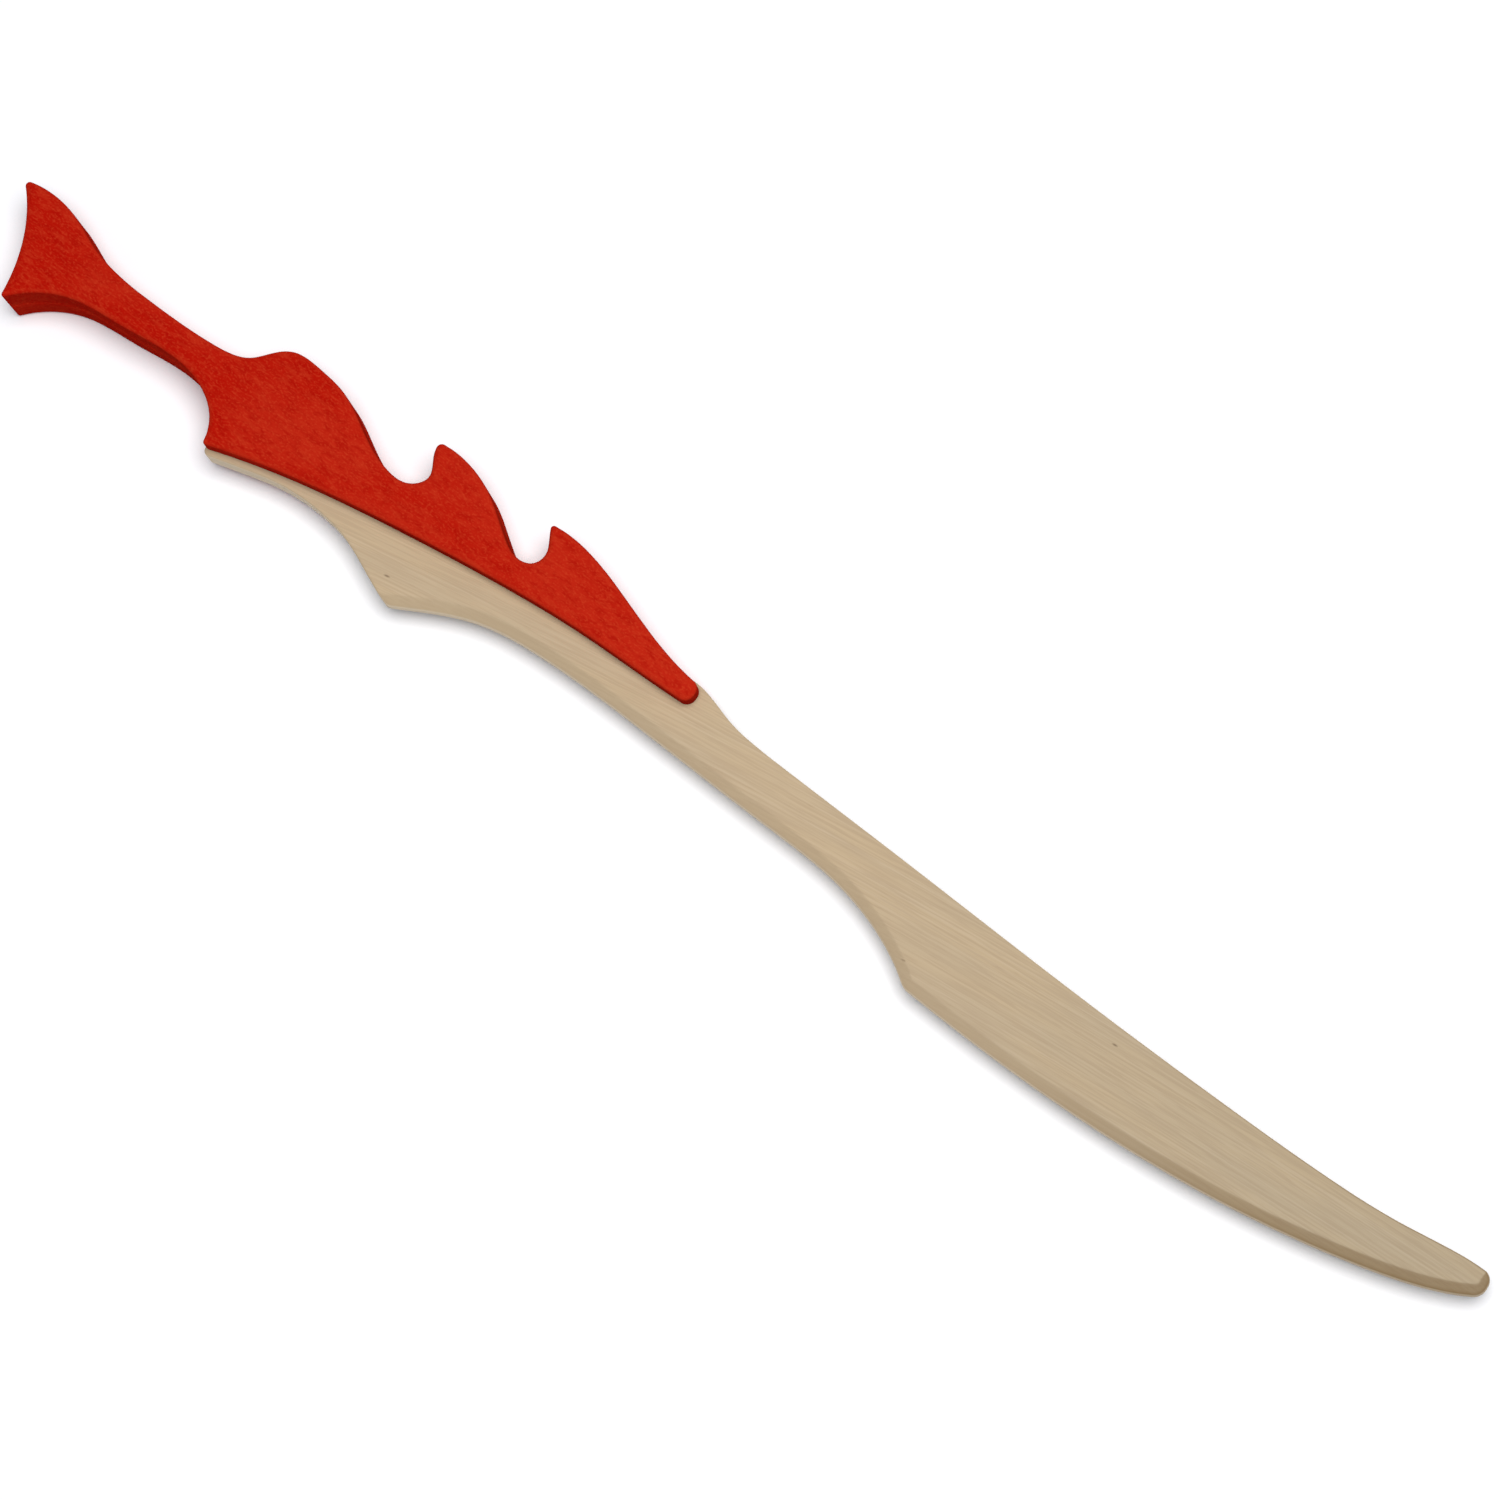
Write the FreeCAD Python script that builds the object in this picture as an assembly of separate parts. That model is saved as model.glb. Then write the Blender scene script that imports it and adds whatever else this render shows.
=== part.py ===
"""Wooden toy sabre: a plank blade held between two glued, stained handle halves.

+X runs from the pommel to the blade's tip, +Y towards the spine and the flame points,
+Z through the thickness.  The sabre lies on the flat back of its back handle half.
Lengths are in millimetres.
"""
import FreeCAD, Part
import os

# ---- driving dimensions ----
BLADE_THICKNESS = 10.0
SCALE_THICKNESS = 8.0          # each handle half, measured over the blade
HANDLE_THICKNESS = 2 * SCALE_THICKNESS + BLADE_THICKNESS
MID_PLANE = HANDLE_THICKNESS / 2
ROUNDOVER = 2.0                # outer rim of each handle half
BEVEL_WIDTH = 4.2              # cutting edge, measured across the face
BEVEL_DEPTH = 3.0              # cutting edge, measured down the side
DOWEL_DIAMETER = 5.0
DOWEL_LENGTH = 18.0
TOLERANCE = 0.01               # for finding edges by where they are

# ---- handle outline: smooth stretches that meet at these corners ----
POMMEL_PEAK = (-341.8, 14.3)
POMMEL_HEEL = (-319.3, -27.7)
GUARD_HEEL = (-219.6, -25.2)
NOSE_LOW = (-11.6, 5.8)
NOSE_HIGH = (-11.8, 13.9)
FRONT_FLAME = (-94.1, 29.1)
REAR_FLAME = (-147.3, 28.7)

POMMEL_END = [POMMEL_PEAK, (-335.1, 7.8), (-328.0, -2.1), (-323.1, -12.6), POMMEL_HEEL]
HAND_SIDE = [POMMEL_HEEL, (-311.4, -19.3), (-298.0, -11.8), (-274.0, -8.1), (-250.0, -5.6),
             (-237.0, -7.4), (-226.6, -12.9), GUARD_HEEL]
BLADE_SIDE = [GUARD_HEEL, (-185.0, -15.1), (-140.0, -6.3), (-96.0, 0.3), (-60.0, 3.8), (-35.0, 4.7),
              NOSE_LOW]
NOSE = [NOSE_LOW, NOSE_HIGH]
FRONT_FLAME_BACK = [NOSE_HIGH, (-28.0, 15.9), (-50.0, 21.9), (-72.0, 28.1), (-84.0, 29.7), FRONT_FLAME]
FRONT_NOTCH = [FRONT_FLAME, (-91.2, 23.9), (-88.7, 18.4), (-90.4, 13.4), (-96.0, 11.4),
               (-104.4, 14.4), (-120.7, 24.5), (-134.0, 28.7), REAR_FLAME]
REAR_NOTCH = [REAR_FLAME, (-145.7, 22.5), (-142.4, 15.6), (-146.8, 9.6), (-156.0, 8.6),
              (-172.0, 14.2), (-188.0, 21.8), (-203.0, 24.0), (-214.5, 22.9), (-218.4, 20.2),
              (-226.0, 11.7), (-240.0, 7.4), (-265.0, 6.1), (-290.0, 7.0), (-303.0, 9.8),
              (-316.0, 14.6), (-323.0, 16.1), (-333.0, 16.3), POMMEL_PEAK]
HANDLE_OUTLINE = [POMMEL_END, HAND_SIDE, BLADE_SIDE, NOSE, FRONT_FLAME_BACK, FRONT_NOTCH, REAR_NOTCH]
HANDLE_CORNERS = [(POMMEL_PEAK, 1.6), (POMMEL_HEEL, 1.0), (GUARD_HEEL, 1.2), (NOSE_LOW, 3.8),
                  (NOSE_HIGH, 3.8), (FRONT_FLAME, 1.3), (REAR_FLAME, 2.2)]

# ---- blade outline ----
HEEL = (-221.0, -27.9)
HEEL_TOP = (-219.2, -20.0)
TANG_END = (-208.0, -3.0)
GUARD_POINT = (-126.9, -31.0)
STEP = (113.0, -28.3)
TIP_LOW = (340.4, 7.8)
TIP_HIGH = (339.4, 15.4)
SPINE_ROOT = (-22.0, 14.2)

HEEL_SIDE = [HEEL, (-204.0, -23.1), (-186.0, -18.9), (-170.0, -18.3), (-154.0, -20.8),
             (-141.0, -25.8), GUARD_POINT]
RICASSO_EDGE = [GUARD_POINT, (-114.0, -23.8), (-97.0, -16.2), (-70.0, -11.6), (-20.0, -10.7),
                (40.0, -11.3), (70.0, -12.5), (95.0, -18.8), STEP]
BELLY_EDGE = [STEP, (150.0, -28.8), (190.0, -27.5), (230.0, -23.7), (270.0, -16.9),
              (296.0, -10.6), (318.0, -3.7), (330.0, 1.5), TIP_LOW]
TIP_END = [TIP_LOW, TIP_HIGH]
SPINE = [TIP_HIGH, (330.0, 15.2), (318.0, 13.6), (300.0, 10.7), (280.0, 8.9), (235.0, 7.4),
         (180.0, 7.0), (90.0, 8.3), (50.0, 8.8), (20.0, 9.2), (3.0, 10.9), (-11.0, 14.5), SPINE_ROOT]
TANG_TOP = [SPINE_ROOT, (-95.0, 8.0), (-150.0, 4.6), TANG_END]
TANG_BACK = [TANG_END, HEEL_TOP]
HEEL_BACK = [HEEL_TOP, HEEL]
BLADE_OUTLINE = [HEEL_SIDE, RICASSO_EDGE, BELLY_EDGE, TIP_END, SPINE, TANG_TOP, TANG_BACK, HEEL_BACK]
BLADE_CORNERS = [(HEEL, 2.4), (GUARD_POINT, 4.0), (STEP, 6.0), (TIP_LOW, 5.5), (TIP_HIGH, 4.0),
                 (TANG_END, 4.0)]

# ---- how far the bevelling cut runs on past the blade at both ends ----
RUN_OFF = 60.0
MARGIN = 30.0

# ---- glued dowels that locate the halves and the tang: name, x, y ----
DOWELS = [("dowel_pommel", -324.0, 3.0), ("dowel_guard", -198.0, -8.0),
          ("dowel_flame", -124.0, 2.4), ("dowel_nose", -55.0, 8.8)]


def smooth_edge(points):
    """One edge through the points: a straight line for two, a smooth curve for more."""
    vectors = [FreeCAD.Vector(x, y, 0) for x, y in points]
    if len(vectors) == 2:
        return Part.makeLine(vectors[0], vectors[1])
    curve = Part.BSplineCurve()
    curve.interpolate(Points=vectors)
    return curve.toShape()


def stands_on(vertex, corner):
    """Whether a vertex is straight above or below a corner of an outline."""
    return abs(vertex.Point.x - corner[0]) < TOLERANCE and abs(vertex.Point.y - corner[1]) < TOLERANCE


def round_corners(solid, corners):
    """Round the upright edges that stand on the corners of a solid's outline."""
    for corner, radius in corners:
        uprights = [edge for edge in solid.Edges
                    if all(stands_on(vertex, corner) for vertex in edge.Vertexes)]
        solid = solid.makeFillet(radius, uprights)
    return solid


def board(outline, corners, bottom, thickness):
    """A board cut to an outline, with the listed corners rounded in plan."""
    face = Part.Face(Part.Wire([smooth_edge(stretch) for stretch in outline]))
    solid = face.extrude(FreeCAD.Vector(0, 0, thickness))
    solid.translate(FreeCAD.Vector(0, 0, bottom))
    return round_corners(solid, corners)


def rim(solid, height):
    """The edges around the flat face at this height."""
    return [edge for edge in solid.Edges
            if all(abs(vertex.Point.z - height) < TOLERANCE for vertex in edge.Vertexes)]


def bevelled_block():
    """A block bevelled on both faces along the cutting edge, which runs straight on past its ends."""
    ricasso = smooth_edge(RICASSO_EDGE)
    along = ricasso.tangentAt(ricasso.FirstParameter)
    run_in = (GUARD_POINT[0] - RUN_OFF * along.x, GUARD_POINT[1] - RUN_OFF * along.y)
    run_out = (TIP_LOW[0], TIP_LOW[1] + RUN_OFF)
    low_corner = (HEEL[0] - MARGIN, run_in[1])
    high_corner = (HEEL[0] - MARGIN, run_out[1])
    outline = [[run_in, GUARD_POINT], RICASSO_EDGE, BELLY_EDGE, [TIP_LOW, run_out],
               [run_out, high_corner], [high_corner, low_corner], [low_corner, run_in]]
    corners = [(corner, radius) for corner, radius in BLADE_CORNERS if corner in (STEP, TIP_LOW)]
    block = board(outline, corners, SCALE_THICKNESS, BLADE_THICKNESS)
    for height in (SCALE_THICKNESS, SCALE_THICKNESS + BLADE_THICKNESS):
        first = [edge for edge in rim(block, height)
                 if any(stands_on(vertex, GUARD_POINT) for vertex in edge.Vertexes)]
        block = block.makeChamfer(BEVEL_WIDTH, BEVEL_DEPTH, first[:1])
    return block


def dowel(x, y):
    """One dowel, standing across the mid-plane."""
    foot = FreeCAD.Vector(x, y, MID_PLANE - DOWEL_LENGTH / 2)
    return Part.makeCylinder(DOWEL_DIAMETER / 2, DOWEL_LENGTH, foot)


def make_blade(pins):
    """The plank: a bevelled blade with a tang that goes between the handle halves."""
    plank = board(BLADE_OUTLINE, BLADE_CORNERS, SCALE_THICKNESS, BLADE_THICKNESS)
    return plank.common(bevelled_block()).cut(pins)


def make_scale(bottom, outer_face, pins):
    """One handle half, rounded over on its outer face and rebated for the blade inside."""
    half = board(HANDLE_OUTLINE, HANDLE_CORNERS, bottom, MID_PLANE)
    half = half.makeFillet(ROUNDOVER, rim(half, outer_face))
    rebate = board(BLADE_OUTLINE, BLADE_CORNERS, SCALE_THICKNESS, BLADE_THICKNESS)
    return half.cut([rebate] + pins)


def centred(shapes):
    """Move the whole sabre so that the middle of its base is the origin."""
    box = Part.makeCompound(list(shapes.values())).optimalBoundingBox()
    shift = FreeCAD.Vector(-(box.XMin + box.XMax) / 2, -(box.YMin + box.YMax) / 2, -box.ZMin)
    for shape in shapes.values():
        shape.translate(shift)
    return shapes


def main():
    dowels = {name: dowel(x, y) for name, x, y in DOWELS}
    pins = list(dowels.values())
    shapes = {
        "blade": make_blade(pins),
        "back_scale": make_scale(0.0, 0.0, pins),
        "front_scale": make_scale(MID_PLANE, HANDLE_THICKNESS, pins),
        **dowels,
    }
    os.makedirs("parts", exist_ok=True)
    for name, shape in centred(shapes).items():
        shape.exportStep("parts/%s.step" % name)
        print(name, "solids", len(shape.Solids), "volume %.0f mm3" % shape.Volume)


main()
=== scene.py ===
"""Looks of the wooden toy sabre: a pale plank blade, red-stained handle halves and hidden dowels.

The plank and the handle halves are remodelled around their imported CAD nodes, with sanded
roundovers, an eased bevel and holes for the dowels.  Lengths are in metres, in the CAD frame.
"""
import math
import bmesh
import bpy
import numpy as np
from mathutils import Matrix, Vector, noise
from mathutils.geometry import delaunay_2d_cdt


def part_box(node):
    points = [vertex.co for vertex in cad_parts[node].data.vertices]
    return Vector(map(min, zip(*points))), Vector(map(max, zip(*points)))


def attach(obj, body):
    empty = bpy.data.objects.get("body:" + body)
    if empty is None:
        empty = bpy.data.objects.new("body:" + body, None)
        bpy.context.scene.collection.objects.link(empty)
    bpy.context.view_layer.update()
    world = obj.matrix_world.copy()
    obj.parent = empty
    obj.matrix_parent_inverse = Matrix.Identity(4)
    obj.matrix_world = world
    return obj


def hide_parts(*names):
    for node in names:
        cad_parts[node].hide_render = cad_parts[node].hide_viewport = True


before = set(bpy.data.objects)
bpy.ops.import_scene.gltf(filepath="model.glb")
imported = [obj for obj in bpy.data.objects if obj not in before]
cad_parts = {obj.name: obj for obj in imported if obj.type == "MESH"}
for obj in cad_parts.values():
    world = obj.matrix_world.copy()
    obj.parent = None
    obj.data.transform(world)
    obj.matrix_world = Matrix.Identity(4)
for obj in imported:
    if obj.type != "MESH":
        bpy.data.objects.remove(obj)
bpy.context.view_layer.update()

MM = 0.001

# ---- taken from the frame ----
BLADE_LOW, BLADE_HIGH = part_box("blade")
HANDLE_LOW, HANDLE_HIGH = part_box("front_scale")
MID_PLANE = HANDLE_LOW.z
DOWELS = [node for name, node in sorted(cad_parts.items()) if name.startswith("dowel")]
BLADE_SECTION = 0.43           # share of a node's height where its outline is read
HANDLE_SECTION = 0.58

# ---- outline sampling ----
WELD = 0.001 * MM
CLOSEST = 0.12 * MM            # outline points nearer than this are one point
COLLINEAR = 0.002 * MM
SHORTEST_STEP = 0.3 * MM
LONGEST_STEP = 2.0 * MM
PIECES = 4                     # most steps for a short straight piece of the CAD outline
CRISP_TURN = math.radians(20)  # an outline that turns more at one point has a real corner there

# ---- handle halves ----
ROUNDOVER_WIDTH = 2.4 * MM
ROUNDOVER_DEPTH = 2.0 * MM
ROUNDOVER_STEPS = 7
ARRIS = 0.25 * MM              # tiny chamfer along the glue line
HANDLE_GRID = 4.0 * MM

# ---- blade ----
EASED_EDGE = 0.8 * MM
EASED_STEPS = 4
BEVEL_WIDTH = 4.2 * MM
BEVEL_DEPTH = 3.0 * MM
RIDGE_SOFTNESS = 0.12 * MM
RIDGE_SECTION = 0.99           # share of the blade's height where the bevel's ridge is read
BEVEL_RINGS = [1.6 * MM, 2.4 * MM, 3.1 * MM, 3.8 * MM, 4.2 * MM, 4.6 * MM]
BLADE_GRID = 3.0 * MM
SANDING_DEPTH = 0.06 * MM      # hollows left by hand sanding
SANDING_SIZE = 26.0 * MM

SHARP_ANGLE = 40

# ---- plank grain: its slope at the middle of the sabre, and how it straightens towards the tip ----
GRAIN_SLOPE = 0.153
GRAIN_CURVE = 0.148
PIN_KNOTS = [((-0.1330, -0.0218), 1.0 * MM), ((-0.2135, -0.0263), 0.9 * MM),
             ((0.1862, 0.0012), 0.9 * MM), ((0.1075, -0.0201), 0.8 * MM)]
KNOT_STRETCH = 3.0             # how much longer a pin knot is along the grain than across it

# ---- camera ----
CAMERA_TARGET = (11.77 * MM, 9.31 * MM, 0.0)
CAMERA_DISTANCE = 1614.4 * MM
CAMERA_AZIMUTH = math.radians(-25.66)
CAMERA_ELEVATION = math.radians(75.85)
CAMERA_ROLL = math.radians(-26.80)
CAMERA_LENS = 105.6
CAMERA_SENSOR = 36.0

# ---- light and floor ----
LAMP_DIRECTION = (0.12, 0.07, 1.0)
LAMP_DISTANCE = 2.2
LAMP_SIZE = 1.6
LAMP_POWER = 54.0
LAMP_COLOUR = (1.0, 0.98, 0.955)
SURROUND_COLOUR = (0.78, 0.89, 1.0, 1.0)
SURROUND_STRENGTH = 0.22
FLOOR_SIZE = 6.0


# ---------------------------------------------------------------- outlines

def unit(vectors):
    return vectors / np.linalg.norm(vectors, axis=1, keepdims=True)


def section(node, share):
    """The longest closed line where a level plane cuts a CAD node, anticlockwise from its +X end."""
    low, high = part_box(node)
    height = low.z + share * (high.z - low.z)
    mesh = bmesh.new()
    mesh.from_mesh(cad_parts[node].data)
    bmesh.ops.remove_doubles(mesh, verts=mesh.verts, dist=WELD)
    everything = mesh.verts[:] + mesh.edges[:] + mesh.faces[:]
    bmesh.ops.bisect_plane(mesh, geom=everything, plane_co=(0, 0, height), plane_no=(0, 0, 1),
                           clear_inner=True, clear_outer=True)
    bmesh.ops.remove_doubles(mesh, verts=mesh.verts, dist=CLOSEST)
    loops = []
    waiting = set(mesh.verts)
    while waiting:
        walk = [waiting.pop()]
        onward = True
        while onward:
            onward = [edge.other_vert(walk[-1]) for edge in walk[-1].link_edges
                      if edge.other_vert(walk[-1]) in waiting]
            walk += onward[:1]
            waiting -= set(onward[:1])
        loops.append(np.array([vert.co.xy for vert in walk]))
    mesh.free()
    longest = max(loops, key=lambda loop: np.linalg.norm(loop - np.roll(loop, 1, 0), axis=1).sum())
    before = np.roll(longest, 1, axis=0)
    area = (before[:, 0] * longest[:, 1] - longest[:, 0] * before[:, 1]).sum() / 2
    longest = longest if area > 0 else longest[::-1]
    return np.roll(longest, -longest[:, 0].argmax(), axis=0)


def without_collinear(loop):
    """The points of a closed line where it really bends."""
    before = np.roll(loop, 1, axis=0)
    chord = unit(np.roll(loop, -1, axis=0) - before)
    offset = loop - before
    bend = np.abs(chord[:, 0] * offset[:, 1] - chord[:, 1] * offset[:, 0])
    return loop[bend > COLLINEAR]


def smooth_loop(corners):
    """A closed curve through the corners of a faceted outline, with finer steps where it bends more."""
    following = np.roll(corners, -1, axis=0)
    along = unit(following - np.roll(corners, 1, axis=0))
    onward = unit(following - corners)
    back = np.roll(onward, 1, axis=0)
    crisp = (onward * back).sum(axis=1, keepdims=True) < math.cos(CRISP_TURN)
    leaving = np.where(crisp, onward, along)
    arriving = np.roll(np.where(crisp, back, along), -1, axis=0)
    points = []
    for p, q, leave, arrive in zip(corners, following, leaving, arriving):
        reach = np.linalg.norm(q - p)
        fine = min(PIECES, round(reach / SHORTEST_STEP))
        steps = max(1, fine, math.ceil(reach / LONGEST_STEP))
        for t in np.arange(steps) / steps:
            points.append((2 * t**3 - 3 * t**2 + 1) * p + (t**3 - 2 * t**2 + t) * reach * leave
                          + (3 * t**2 - 2 * t**3) * q + (t**3 - t**2) * reach * arrive)
    return np.array(points)


def distances(points, starts, ends):
    """How far each point is from the nearest of some straight pieces."""
    nearest = np.full(len(points), np.inf)
    for start, end in zip(starts, ends):
        span = end - start
        share = np.clip((points - start) @ span / (span @ span), 0, 1)
        gap = points - start - share[:, None] * span
        nearest = np.minimum(nearest, np.hypot(gap[:, 0], gap[:, 1]))
    return nearest


def edge_distances(points, loop):
    return distances(points, loop, np.roll(loop, -1, axis=0))


def inside(points, loop):
    """Which points lie within a closed line."""
    crossed = np.zeros(len(points), bool)
    for a, b in zip(loop, np.roll(loop, -1, axis=0)):
        if a[1] != b[1]:
            between = (a[1] > points[:, 1]) != (b[1] > points[:, 1])
            crossing = a[0] + (points[:, 1] - a[1]) * (b[0] - a[0]) / (b[1] - a[1])
            crossed ^= between & (points[:, 0] < crossing)
    return crossed


def shifted(loop, distance):
    """A closed line moved inwards, point for point, by one distance or by one for each point."""
    along = unit(np.roll(loop, -1, axis=0) - np.roll(loop, 1, axis=0))
    inward = np.column_stack([-along[:, 1], along[:, 0]])
    return loop + np.reshape(distance, (-1, 1)) * inward


def ring(loop, distance):
    """The closed line at a true distance inside an outline."""
    moved = shifted(loop, distance)
    moved = moved[edge_distances(moved, loop) > distance * 0.995]
    kept = [moved[0]]
    for point in moved[1:]:
        if np.linalg.norm(point - kept[-1]) > SHORTEST_STEP / 2:
            kept.append(point)
    return np.array(kept)


# ---------------------------------------------------------------- meshes

def filled(loop, ring_distances, grid):
    """Points and triangles that fill an outline: rings beside its edge and an even grid within."""
    loops = [loop] + [ring(loop, distance) for distance in ring_distances]
    low, high = loop.min(axis=0), loop.max(axis=0)
    row_height = grid * math.sqrt(3) / 2
    rows = math.ceil((high[1] - low[1]) / row_height)
    columns = math.ceil((high[0] - low[0]) / grid)
    lattice = np.array([(low[0] + (column + 0.5 * (row % 2)) * grid, low[1] + row * row_height)
                        for row in range(rows) for column in range(columns)])
    lattice = lattice[inside(lattice, loop)]
    margin = max([0, *ring_distances]) + grid / 2
    lattice = lattice[edge_distances(lattice, loop) > margin]
    points = np.vstack(loops + [lattice])
    edges = []
    first = 0
    for closed in loops:
        count = len(closed)
        edges += [(first + i, first + (i + 1) % count) for i in range(count)]
        first += count
    flat = [Vector(point) for point in points]
    corners, _, triangles, _, _, _ = delaunay_2d_cdt(flat, edges, [], 1, 1e-9)
    if len(corners) != len(points):
        raise ValueError("the rings of an outline cross each other")
    return points, triangles


def raised(points, heights):
    return np.column_stack([points, np.broadcast_to(heights, len(points))])


def solid(name, top, rows, bottom):
    """A closed mesh from a top, rows of points down its side, and a bottom.

    The top and the bottom are points with triangles, and their outlines come first.
    Each row has as many points as an outline.
    """
    mesh = bmesh.new()
    caps = []
    for points, triangles in (top, bottom):
        verts = [mesh.verts.new(point) for point in points]
        for triangle in triangles:
            mesh.faces.new([verts[i] for i in triangle])
        caps.append(verts)
    count = len(rows[0])
    bands = [[mesh.verts.new(point) for point in row] for row in rows]
    bands = [caps[0][:count], *bands, caps[1][:count]]
    for upper, lower in zip(bands, bands[1:]):
        for i in range(count):
            j = (i + 1) % count
            mesh.faces.new((upper[i], lower[i], lower[j], upper[j]))
    bmesh.ops.recalc_face_normals(mesh, faces=mesh.faces)
    data = bpy.data.meshes.new(name)
    mesh.to_mesh(data)
    mesh.free()
    piece = bpy.data.objects.new(name, data)
    bpy.context.scene.collection.objects.link(piece)
    return piece


def cut_away(piece, tools):
    """Take the tools' volumes out of a piece, all in one exact cut."""
    group = bpy.data.collections.new("tools")
    for tool in tools:
        group.objects.link(tool)
    modifier = piece.modifiers.new("cut", "BOOLEAN")
    modifier.operation = "DIFFERENCE"
    modifier.solver = "EXACT"
    modifier.operand_type = "COLLECTION"
    modifier.collection = group
    evaluated = piece.evaluated_get(bpy.context.evaluated_depsgraph_get())
    data = bpy.data.meshes.new_from_object(evaluated)
    piece.modifiers.clear()
    piece.data = data
    bpy.data.collections.remove(group)


def shade(piece, sharp_angle):
    """Smooth shading that breaks at edges sharper than the angle, in degrees."""
    for face in piece.data.polygons:
        face.use_smooth = True
    piece.data.set_sharp_from_angle(angle=math.radians(sharp_angle))


def sanding(points):
    """How deep hand sanding has hollowed a face at each point."""
    return np.array([SANDING_DEPTH * (1 + noise.noise(Vector((x, y, 0)) / SANDING_SIZE)) / 2
                     for x, y in points])


def quarter_round(distance, width, depth):
    """How far an elliptical roundover drops at each distance from its edge."""
    across = np.clip(1 - distance / width, 0, 1)
    return depth * (1 - np.sqrt(1 - across**2))


def round_rings(width, steps):
    """The distances from the edge that divide a roundover into equal angles."""
    return [width * (1 - math.cos(math.pi / 2 * step / steps)) for step in range(1, steps + 1)]


# ---------------------------------------------------------------- pieces

def outline(node, share):
    """The smoothed outline of a CAD node, kept inside the node's box."""
    low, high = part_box(node)
    return np.clip(smooth_loop(without_collinear(section(node, share))), low.xy, high.xy)


blade_outline = outline("blade", BLADE_SECTION)
handle_outline = outline("front_scale", HANDLE_SECTION)


def bevel_drop(points):
    """How far the cutting edge's bevel lies below the face, with a slightly softened ridge."""
    ridge = outline("blade", RIDGE_SECTION)
    away = edge_distances(points, ridge) * np.where(inside(points, ridge), -1, 1)
    started = (1 - RIDGE_SECTION) * (BLADE_HIGH.z - BLADE_LOW.z)
    raw = started + away * BEVEL_DEPTH / BEVEL_WIDTH
    return (raw + np.sqrt(raw**2 + RIDGE_SOFTNESS**2)) / 2 * (raw > -4 * RIDGE_SOFTNESS)


def make_blade():
    """The plank, alike on both faces, with eased edges and the bevelled cutting edge."""
    rings = round_rings(EASED_EDGE, EASED_STEPS) + BEVEL_RINGS
    points, triangles = filled(blade_outline, rings, BLADE_GRID)
    from_edge = edge_distances(points, blade_outline)
    drop = quarter_round(from_edge, EASED_EDGE, EASED_EDGE) + bevel_drop(points) + sanding(points)
    top = raised(points, BLADE_HIGH.z - drop)
    bottom = raised(points, BLADE_LOW.z + drop)
    count = len(blade_outline)
    rows = [top[:count] + (bottom[:count] - top[:count]) * share for share in (0.25, 0.5, 0.75)]
    piece = solid("plank_blade", (top, triangles), rows, (bottom, triangles))
    cut_away(piece, DOWELS)
    return piece


def make_plank_tool():
    """The plain plank that each handle half is rebated for."""
    points, triangles = filled(blade_outline, [], HANDLE_GRID)
    top = raised(points, BLADE_HIGH.z)
    bottom = raised(points, BLADE_LOW.z)
    middle = raised(blade_outline, MID_PLANE)
    return solid("plank_tool", (top, triangles), [middle], (bottom, triangles))


def make_handle_half(name, side, plank):
    """One handle half: side is 1 for the front and -1 for the back."""
    rings = round_rings(ROUNDOVER_WIDTH, ROUNDOVER_STEPS)
    points, triangles = filled(handle_outline, rings, HANDLE_GRID)
    from_edge = edge_distances(points, handle_outline)
    drop = quarter_round(from_edge, ROUNDOVER_WIDTH, ROUNDOVER_DEPTH) + sanding(points)
    thickness = HANDLE_HIGH.z - MID_PLANE
    plank_face = BLADE_HIGH.z - MID_PLANE
    outer = raised(points, MID_PLANE + side * (thickness - drop))
    within = inside(handle_outline, blade_outline)
    over_plank = within & (edge_distances(handle_outline, blade_outline) > 2 * ARRIS)
    contact = shifted(handle_outline, ARRIS * over_plank)
    heights = [(handle_outline, (thickness + plank_face) / 2), (handle_outline, plank_face + ARRIS),
               (contact, plank_face - ARRIS / 4), (handle_outline, plank_face - 2 * ARRIS),
               (handle_outline, ARRIS)]
    rows = [raised(line, MID_PLANE + side * height) for line, height in heights]
    glue_line = shifted(handle_outline, ARRIS)
    glued, glued_triangles = filled(glue_line, [], HANDLE_GRID)
    inner = raised(glued, MID_PLANE)
    piece = solid(name, (outer, triangles), rows, (inner, glued_triangles))
    cut_away(piece, [plank] + DOWELS)
    return piece


# ---------------------------------------------------------------- materials

def colour(red, green, blue):
    """A linear colour from 0 to 255 screen values."""
    return tuple(((value / 255 + 0.055) / 1.055)**2.4 for value in (red, green, blue)) + (1.0,)


PLANK_BASE = colour(185, 165, 137)
PLANK_WARM = colour(189, 167, 136)
PLANK_LINE = colour(172, 150, 123)
PLANK_LIGHT = colour(196, 176, 150)
PLANK_FIBRE = colour(174, 152, 125)
PLANK_PORE = colour(150, 124, 96)
PLANK_KNOT = colour(88, 66, 50)
PLANK_CUT = colour(182, 160, 130)
# darker cut grain with painted shade, for the bevel near the tip
PLANK_TIP_GRAIN_AND_SHADE = colour(124, 98, 62)
# painted light for the plank's upright sides
PLANK_SIDE_LIGHT = colour(218, 200, 174)
# painted shade for the plank towards the tip
PLANK_TIP_SHADE = colour(238, 242, 245)
STAIN_DEEP = colour(171, 18, 6)
STAIN_BRIGHT = colour(179, 34, 17)
STAIN_DARK = colour(158, 10, 3)
STAIN_ORANGE = colour(184, 46, 23)
STAIN_FLECK = colour(194, 60, 32)
# sanding wear with a painted highlight, for the rim of the roundover
STAIN_RIM_WEAR_AND_HIGHLIGHT = colour(190, 44, 22)
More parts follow.
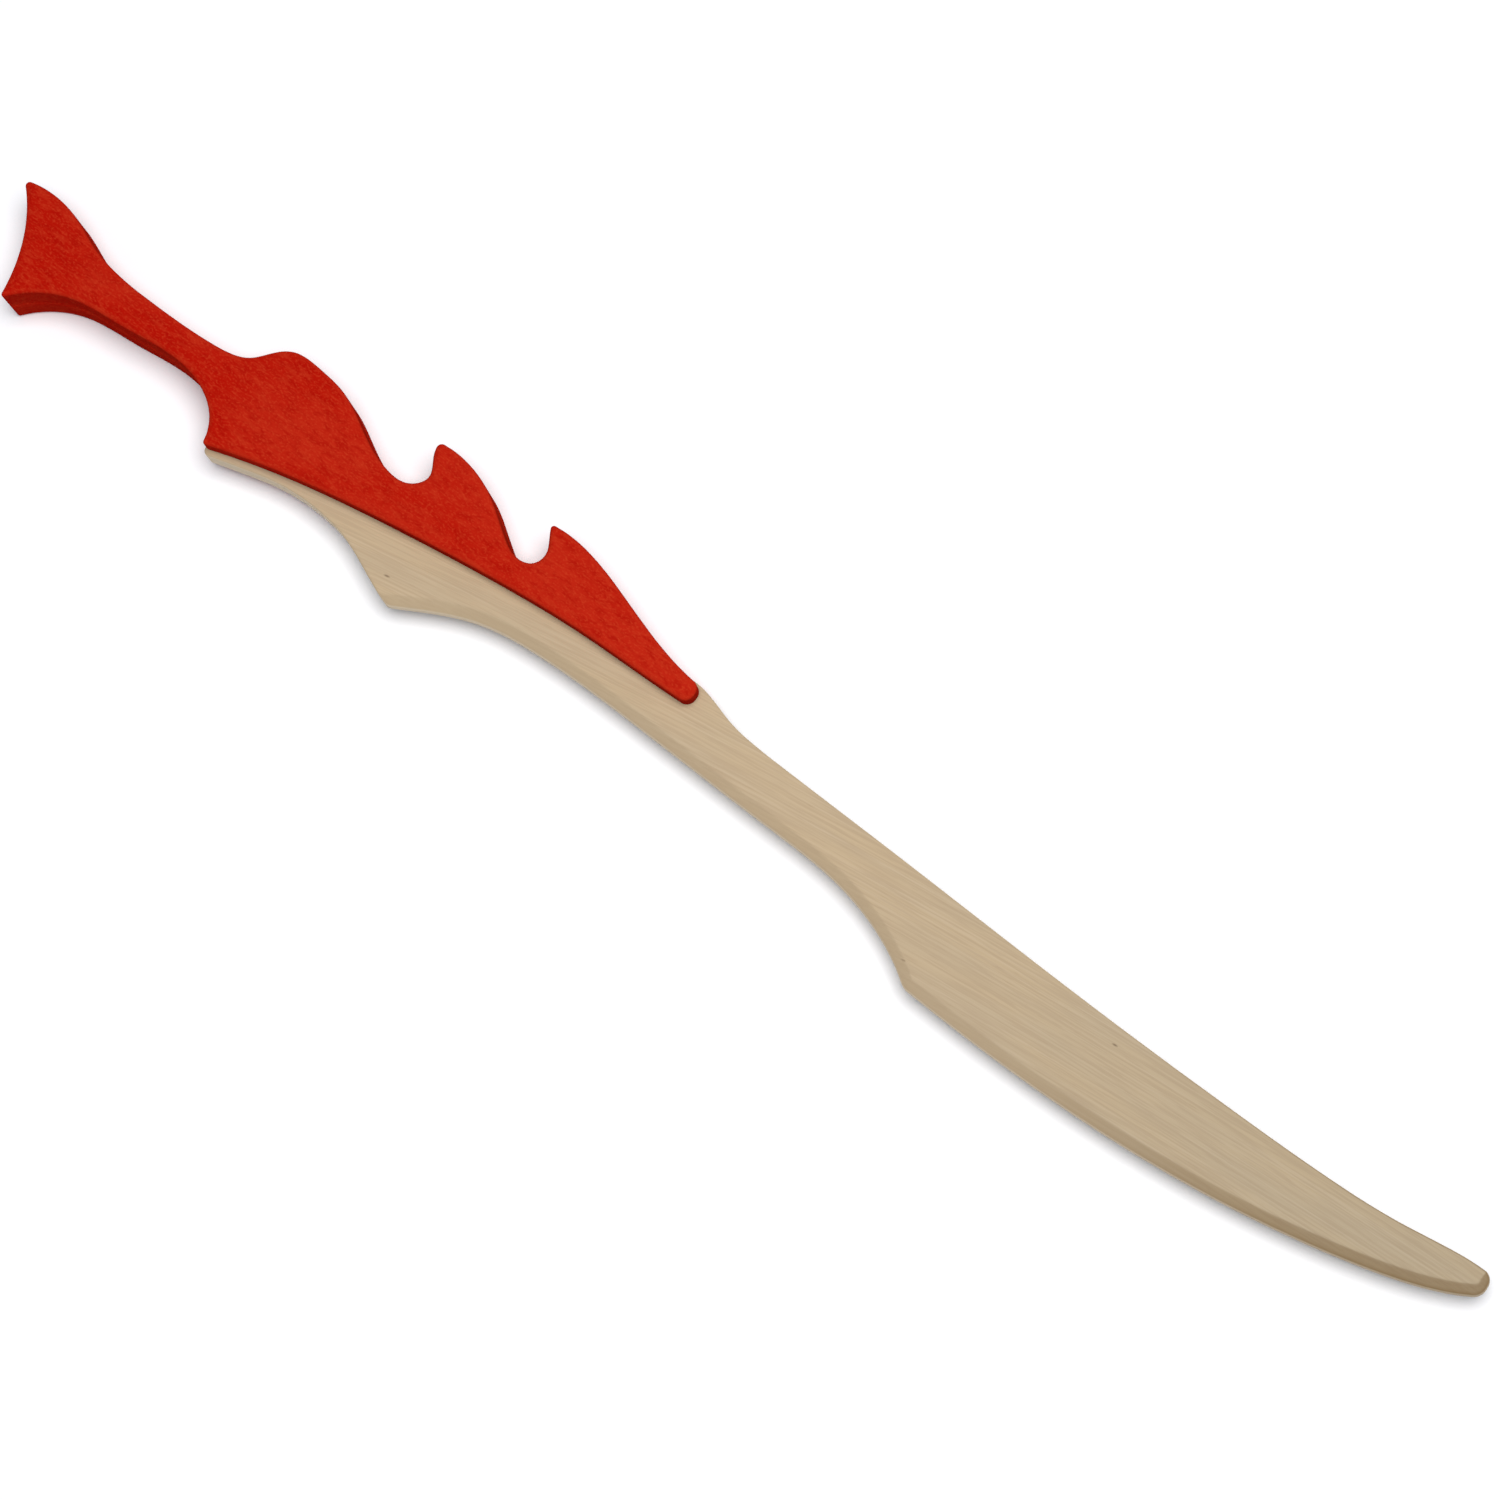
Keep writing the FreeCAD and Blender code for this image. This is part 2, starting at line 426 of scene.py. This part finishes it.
# painted shade for the handle's upright sides
STAIN_SIDE_SHADE = colour(124, 13, 6)
DOWEL_LIGHT = colour(214, 186, 150)
DOWEL_DARK = colour(196, 164, 126)
DOWEL_FLECK = colour(164, 124, 86)
FLOOR_COLOUR = colour(251, 252, 255)
FLOOR_TOOTH = colour(249, 250, 254)

TIP_SHADE_FROM = 0 * MM          # painted shade: the plank is a little darker and greyer towards the tip
TIP_SHADE_TO = 340 * MM
BROWNING_FROM = 120 * MM       # and its bevel a little browner, from darker cut grain and painted shade
BROWNING_TO = 330 * MM
STAIN_THIN_FROM = -340 * MM    # the stain is a little thinner from the pommel towards the nose
STAIN_THIN_TO = -10 * MM
RIM_START = 10.9 * MM          # the rim that sanding wear and a painted highlight have lightened, measured from the mid-plane
RIM_PEAK = 12.4 * MM
RIM_END = 12.95 * MM
LEVEL_FACE = 0.98              # how level the plank's surface is: 1 on a face, 0 on an upright side
LEVEL_BEVEL = 0.7              # the bevel lies between these two
LEVEL_EASED = 0.78
LEVEL_SIDE = 0.35


class Finish:
    """A procedural material under construction.  Each call adds a node and returns its output."""

    def __init__(self, name, roughness, specular):
        self.material = bpy.data.materials.new(name)
        self.material.use_nodes = True
        self.tree = self.material.node_tree
        self.shader = self.tree.nodes["Principled BSDF"]
        self.shader.inputs["Specular IOR Level"].default_value = specular
        self.shader.inputs["Roughness"].default_value = roughness
        self.place = self.node("ShaderNodeTexCoord").outputs["Object"]

    def node(self, kind, inputs=None, **settings):
        made = self.tree.nodes.new(kind)
        for setting, value in settings.items():
            setattr(made, setting, value)
        for socket, value in (inputs or {}).items():
            if isinstance(value, bpy.types.NodeSocket):
                self.tree.links.new(value, made.inputs[socket])
            else:
                made.inputs[socket].default_value = value
        return made

    def math(self, operation, *values):
        return self.node("ShaderNodeMath", dict(enumerate(values)), operation=operation).outputs[0]

    def vector(self, operation, *values):
        return self.node("ShaderNodeVectorMath", dict(enumerate(values)), operation=operation)

    def split(self, vector):
        return self.node("ShaderNodeSeparateXYZ", {0: vector}).outputs[:]

    def join(self, x, y, z):
        return self.node("ShaderNodeCombineXYZ", {0: x, 1: y, 2: z}).outputs[0]

    def noise(self, place, sizes, detail=2.0, distortion=0.0):
        """Noise from 0 to 1 whose patches have these sizes along x, y and z, in metres."""
        scaled = self.vector("DIVIDE", place, sizes).outputs[0]
        inputs = {"Vector": scaled, "Scale": 1.0, "Detail": detail, "Distortion": distortion}
        return self.node("ShaderNodeTexNoise", inputs).outputs["Fac"]

    def spread(self, value, low, high, to_low=0.0, to_high=1.0):
        """A value stretched from one range to another, with smooth ends."""
        inputs = {"Value": value, "From Min": low, "From Max": high, "To Min": to_low, "To Max": to_high}
        return self.node("ShaderNodeMapRange", inputs, interpolation_type="SMOOTHSTEP").outputs[0]

    def blend(self, share, first, second, mode="MIX"):
        """Two colours mixed by a share, or blended by it in another mode."""
        mixer = self.node("ShaderNodeMix", data_type="RGBA", blend_type=mode)
        for socket, value in ((0, share), (6, first), (7, second)):
            if isinstance(value, bpy.types.NodeSocket):
                self.tree.links.new(value, mixer.inputs[socket])
            else:
                mixer.inputs[socket].default_value = value
        return mixer.outputs[2]

    def levelness(self):
        """From 0 on an upright side to 1 on a level face."""
        normal = self.node("ShaderNodeNewGeometry").outputs["Normal"]
        return self.math("ABSOLUTE", self.split(normal)[2])

    def finish(self, base, roughness, height, relief):
        """Wire the colour, the roughness and a bump of this relief, in metres, to the shader."""
        bump = self.node("ShaderNodeBump", {"Height": height, "Distance": relief, "Strength": 1.0})
        self.tree.links.new(base, self.shader.inputs["Base Color"])
        self.tree.links.new(roughness, self.shader.inputs["Roughness"])
        self.tree.links.new(bump.outputs[0], self.shader.inputs["Normal"])
        return self.material


def natural_wood():
    """Pale, fine-sanded hardwood whose grain sweeps gently along the blade, with four pin knots."""
    wood = Finish("natural_wood", 0.6, 0.02)
    x, y, z = wood.split(wood.place)
    sweep = wood.math("MULTIPLY", x, wood.math("MULTIPLY_ADD", x, -GRAIN_CURVE, GRAIN_SLOPE))
    across = wood.math("SUBTRACT", y, sweep)
    grain = wood.join(x, across, z)

    tone = wood.noise(grain, (90 * MM, 14 * MM, 20 * MM), detail=3.0, distortion=0.3)
    lines = wood.noise(grain, (180 * MM, 1.0 * MM, 6 * MM), detail=4.0, distortion=0.1)
    fibres = wood.noise(grain, (25 * MM, 0.8 * MM, 1.2 * MM), detail=3.0)
    pores = wood.noise(grain, (7 * MM, 0.22 * MM, 0.5 * MM), detail=1.0)

    base = wood.blend(wood.spread(tone, 0.35, 0.65), PLANK_BASE, PLANK_WARM)
    base = wood.blend(wood.spread(lines, 0.5, 0.66, 0.0, 0.3), base, PLANK_LINE)
    base = wood.blend(wood.spread(lines, 0.34, 0.5, 0.3, 0.0), base, PLANK_LIGHT)
    base = wood.blend(wood.spread(fibres, 0.44, 0.6, 0.0, 0.52), base, PLANK_FIBRE)
    base = wood.blend(wood.spread(pores, 0.66, 0.78, 0.0, 0.35), base, PLANK_PORE)
    # painted shade: the plank's face darkens a little towards the tip
    base = wood.blend(wood.spread(x, TIP_SHADE_FROM, TIP_SHADE_TO), base, PLANK_TIP_SHADE, mode="MULTIPLY")
    for (knot_x, knot_y), radius in PIN_KNOTS:
        along = wood.math("DIVIDE", wood.math("SUBTRACT", x, knot_x), KNOT_STRETCH)
        knot_across = knot_y - knot_x * (GRAIN_SLOPE - GRAIN_CURVE * knot_x)
        aside = wood.math("SUBTRACT", across, knot_across)
        reach = wood.vector("LENGTH", wood.join(along, aside, 0.0)).outputs["Value"]
        base = wood.blend(wood.spread(reach, radius * 0.1, radius * 0.6, 0.6, 0.0), base, PLANK_KNOT)
    level = wood.levelness()
    # the bevel darkens towards the tip: partly darker cut grain, partly painted shade
    cut = wood.blend(wood.spread(x, BROWNING_FROM, BROWNING_TO), PLANK_CUT, PLANK_TIP_GRAIN_AND_SHADE)
    base = wood.blend(wood.spread(level, LEVEL_BEVEL, LEVEL_FACE, 0.85, 0.0), base, cut)
    # painted light: the upright sides are painted paler, fading out on the eased edges and towards the
    # tip
    upright = wood.spread(level, LEVEL_SIDE, LEVEL_EASED, 1.0, 0.0)
    painted_side_light = wood.math("MULTIPLY", upright, wood.spread(x, BROWNING_FROM, BROWNING_TO, 0.85, 0.6))
    base = wood.blend(painted_side_light, base, PLANK_SIDE_LIGHT)

    roughness = wood.spread(fibres, 0.3, 0.7, 0.56, 0.68)
    relief = wood.math("ADD", fibres, wood.math("MULTIPLY", lines, 0.6))
    return wood.finish(base, roughness, relief, 0.05 * MM)


def red_stained_wood():
    """Hardwood under a red water-stain: finely mottled, lighter along the rim from wear and a painted
    highlight, with painted shade on its sides.
    """
    wood = Finish("red_stained_wood", 0.65, 0.0)
    x, _, z = wood.split(wood.place)
    blotches = wood.noise(wood.place, (34 * MM, 16 * MM, 15 * MM), detail=2.0)
    mottle = wood.noise(wood.place, (5.0 * MM, 2.4 * MM, 3 * MM), detail=3.0, distortion=0.5)
    fibres = wood.noise(wood.place, (9 * MM, 0.5 * MM, 0.9 * MM), detail=3.0)
    streaks = wood.noise(wood.place, (7 * MM, 1.9 * MM, 3 * MM), detail=3.0, distortion=0.6)
    flecks = wood.noise(wood.place, (1.2 * MM, 0.7 * MM, 0.7 * MM), detail=2.0)

    thinned = wood.spread(x, STAIN_THIN_FROM, STAIN_THIN_TO, -0.15, 0.2)
    lightness = wood.spread(wood.math("ADD", blotches, thinned), 0.3, 0.7)
    base = wood.blend(lightness, STAIN_DEEP, STAIN_BRIGHT)
    base = wood.blend(wood.spread(mottle, 0.4, 0.7, 0.0, 0.6), base, STAIN_DARK)
    base = wood.blend(wood.spread(streaks, 0.5, 0.7, 0.0, 0.55), base, STAIN_ORANGE)
    base = wood.blend(wood.spread(fibres, 0.5, 0.75, 0.0, 0.3), base, STAIN_ORANGE)
    base = wood.blend(wood.spread(flecks, 0.48, 0.7, 0.0, 0.45), base, STAIN_FLECK)
    lift = wood.math("ABSOLUTE", wood.math("SUBTRACT", z, MID_PLANE))
    rising = wood.spread(lift, RIM_START, RIM_PEAK)
    falling = wood.spread(lift, RIM_PEAK, RIM_END, 1.0, 0.0)
    rim = wood.math("MULTIPLY", rising, falling)
    # painted highlight with some sanding wear: the upper part of the roundover is painted lighter
    rim_wear_and_highlight = wood.math("MULTIPLY", rim, wood.spread(mottle, 0.35, 0.65, 0.1, 0.5))
    base = wood.blend(rim_wear_and_highlight, base, STAIN_RIM_WEAR_AND_HIGHLIGHT)
    # painted shade: the upright sides are painted darker
    upright = wood.spread(wood.levelness(), 0.0, 0.6, 0.4, 0.0)
    base = wood.blend(upright, base, STAIN_SIDE_SHADE)

    roughness = wood.spread(mottle, 0.3, 0.7, 0.6, 0.72)
    return wood.finish(base, roughness, fibres, 0.04 * MM)


def dowel_wood():
    """Plain turned beech with short flecks along the dowel."""
    wood = Finish("dowel_wood", 0.65, 0.25)
    tone = wood.noise(wood.place, (6 * MM, 6 * MM, 40 * MM))
    flecks = wood.noise(wood.place, (0.35 * MM, 0.35 * MM, 3 * MM), detail=2.0)
    base = wood.blend(tone, DOWEL_LIGHT, DOWEL_DARK)
    base = wood.blend(wood.spread(flecks, 0.55, 0.75, 0.0, 0.5), base, DOWEL_FLECK)
    return wood.finish(base, wood.spread(tone, 0.3, 0.7, 0.6, 0.7), flecks, 0.05 * MM)


def paper():
    """The plain pale sheet that the sabre lies on."""
    sheet = Finish("pale_floor", 0.9, 0.1)
    tooth = sheet.noise(sheet.place, (0.8 * MM, 0.8 * MM, 0.8 * MM))
    base = sheet.blend(tooth, FLOOR_COLOUR, FLOOR_TOOTH)
    return sheet.finish(base, sheet.spread(tooth, 0.0, 1.0, 0.85, 0.95), tooth, 0.01 * MM)


# ---------------------------------------------------------------- studio

def make_floor():
    data = bpy.data.meshes.new("pale_floor")
    half = FLOOR_SIZE / 2
    corners = [(-half, -half, 0), (half, -half, 0), (half, half, 0), (-half, half, 0)]
    data.from_pydata(corners, [], [(0, 1, 2, 3)])
    floor = bpy.data.objects.new("pale_floor", data)
    bpy.context.scene.collection.objects.link(floor)
    data.materials.append(paper())


def make_light():
    """A large soft lamp almost overhead, and an even, slightly blue surround."""
    data = bpy.data.lights.new("softbox", "AREA")
    data.shape = "DISK"
    data.size = LAMP_SIZE
    data.energy = LAMP_POWER
    data.color = LAMP_COLOUR
    lamp = bpy.data.objects.new("softbox", data)
    direction = Vector(LAMP_DIRECTION).normalized()
    lamp.location = direction * LAMP_DISTANCE
    lamp.rotation_euler = direction.to_track_quat("Z", "Y").to_euler()
    bpy.context.scene.collection.objects.link(lamp)
    world = bpy.data.worlds.new("pale_surround")
    world.use_nodes = True
    background = world.node_tree.nodes["Background"]
    background.inputs["Color"].default_value = SURROUND_COLOUR
    background.inputs["Strength"].default_value = SURROUND_STRENGTH
    bpy.context.scene.world = world


def make_camera():
    data = bpy.data.cameras.new("camera")
    data.sensor_width = CAMERA_SENSOR
    data.lens = CAMERA_LENS
    camera = bpy.data.objects.new("camera", data)
    level = Vector((math.cos(CAMERA_AZIMUTH), math.sin(CAMERA_AZIMUTH), 0)) * math.cos(CAMERA_ELEVATION)
    direction = level + Vector((0, 0, math.sin(CAMERA_ELEVATION)))
    upright = direction.to_track_quat("Z", "Y").to_matrix().to_4x4()
    place = Matrix.Translation(Vector(CAMERA_TARGET) + direction * CAMERA_DISTANCE)
    camera.matrix_world = place @ upright @ Matrix.Rotation(CAMERA_ROLL, 4, "Z")
    bpy.context.scene.collection.objects.link(camera)
    bpy.context.scene.camera = camera


# ---------------------------------------------------------------- the sabre

def dress(piece, material, slot, *nodes):
    """Finish a new piece, and let it stand for its CAD nodes."""
    piece.data.materials.clear()
    piece.data.materials.append(material)
    shade(piece, SHARP_ANGLE)
    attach(piece, "root")
    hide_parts(*nodes)


plank = make_plank_tool()
blade = make_blade()
front_half = make_handle_half("front_half", 1, plank)
back_half = make_handle_half("back_half", -1, plank)
bpy.data.objects.remove(plank)

stain = red_stained_wood()
dress(blade, natural_wood(), "natural_wood", "blade")
dress(front_half, stain, "red_stained_wood", "front_scale")
dress(back_half, stain, "red_stained_wood", "back_scale")
turned = dowel_wood()
for dowel in DOWELS:
    for slot in dowel.material_slots:
        slot.material = turned

make_floor()
make_light()
make_camera()
bpy.context.scene.view_settings.view_transform = "Standard"
